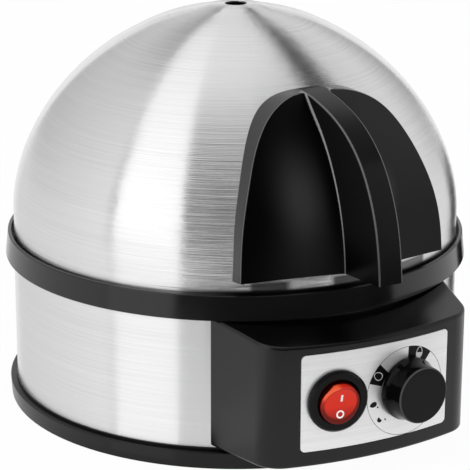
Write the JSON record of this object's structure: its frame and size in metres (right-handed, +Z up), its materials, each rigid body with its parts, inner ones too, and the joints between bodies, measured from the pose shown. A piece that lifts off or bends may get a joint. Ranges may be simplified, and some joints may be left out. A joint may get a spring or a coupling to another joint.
{
  "type": "electric egg cooker",
  "caption": "Round table-top egg cooker with a steel dome lid, a finned lid handle, a lift-out egg tray over a heated pan, and a front box with rocker switch and dial.",
  "frame": {"origin": "on the axis of the round body, in the plane of the foot's rim, 0.3 mm over the table that the rubber pads stand on", "axes": "+Z up through the steam hole, -Y out through the control box and the lid's handle, +X to the right seen from the front"},
  "size_m": [0.185, 0.2142, 0.1584],
  "materials": {
    "black_gloss": "glossy black moulding",
    "black_matte": "satin black moulding",
    "steel_brushed": "brushed stainless sheet",
    "steel_plate": "fine brushed control plate",
    "pan_steel": "satin stainless pan",
    "galvanised": "zinc plated sheet and screws",
    "aluminium_plain": "plain",
    "element_sheath": "heat darkened metal sheath",
    "brass_plain": "plain",
    "rubber_black": "soft pads and grommet",
    "silicone_grey": "heat proof seal",
    "red_translucent": "glossy translucent red",
    "ceramic_white": "unglazed white ceramic"
  },
  "bodies": {
    "base": {"foot_base": "black_matte", "rubber_feet": "rubber_black", "base_screws": "galvanised", "jacket": "steel_brushed", "top_ring": "black_gloss", "pan_seal": "silicone_grey", "heating_pan": "pan_steel", "heat_plate": "aluminium_plain", "heating_element": "element_sheath", "thermostat": "ceramic_white", "thermostat_clip": "galvanised", "thermal_fuse": "brass_plain", "fuse_cradle": "galvanised", "heat_shield": "galvanised", "shield_studs": "galvanised", "control_housing": "black_gloss", "housing_floor": "black_matte", "floor_screws": "galvanised", "control_plate": "steel_plate", "switch_bezel": "black_matte", "switch_terminals": "brass_plain", "rocker_pin": "galvanised", "regulator_body": "ceramic_white", "regulator_terminals": "brass_plain", "regulator_nut": "galvanised", "cord_inlet": "rubber_black"},
    "rocker": {"rocker": "red_translucent"},
    "knob": {"knob": "black_gloss", "knob_shaft": "aluminium_plain"},
    "tray": {"egg_tray": "black_matte"},
    "lid": {"lid_dome": "steel_brushed", "handle": "black_matte", "handle_screws": "galvanised", "handle_washers": "galvanised"}
  },
  "joints": [
    {"name": "lid_lift", "type": "slide", "parent": "base", "child": "lid", "axis": [0, 0, 1], "range_m": [0, 0.12]},
    {"name": "tray_lift", "type": "slide", "parent": "base", "child": "tray", "axis": [0, 0, 1], "range_m": [0, 0.048]},
    {"name": "rocker_tilt", "type": "hinge", "parent": "base", "child": "rocker", "pos_m": [-0.01754, -0.10872, 0.0334], "axis": [-0.9931, 0.1175, 0], "range_deg": [0, 16]},
    {"name": "knob_turn", "type": "hinge", "parent": "base", "child": "knob", "pos_m": [0.01185, -0.11103, 0.0333], "axis": [0.0785, -0.9969, 0], "range_deg": [-96, 183]}
  ],
  "couplings": [
    {"joint": "tray_lift", "follows": "lid_lift", "ratio": 0.4}
  ]
}
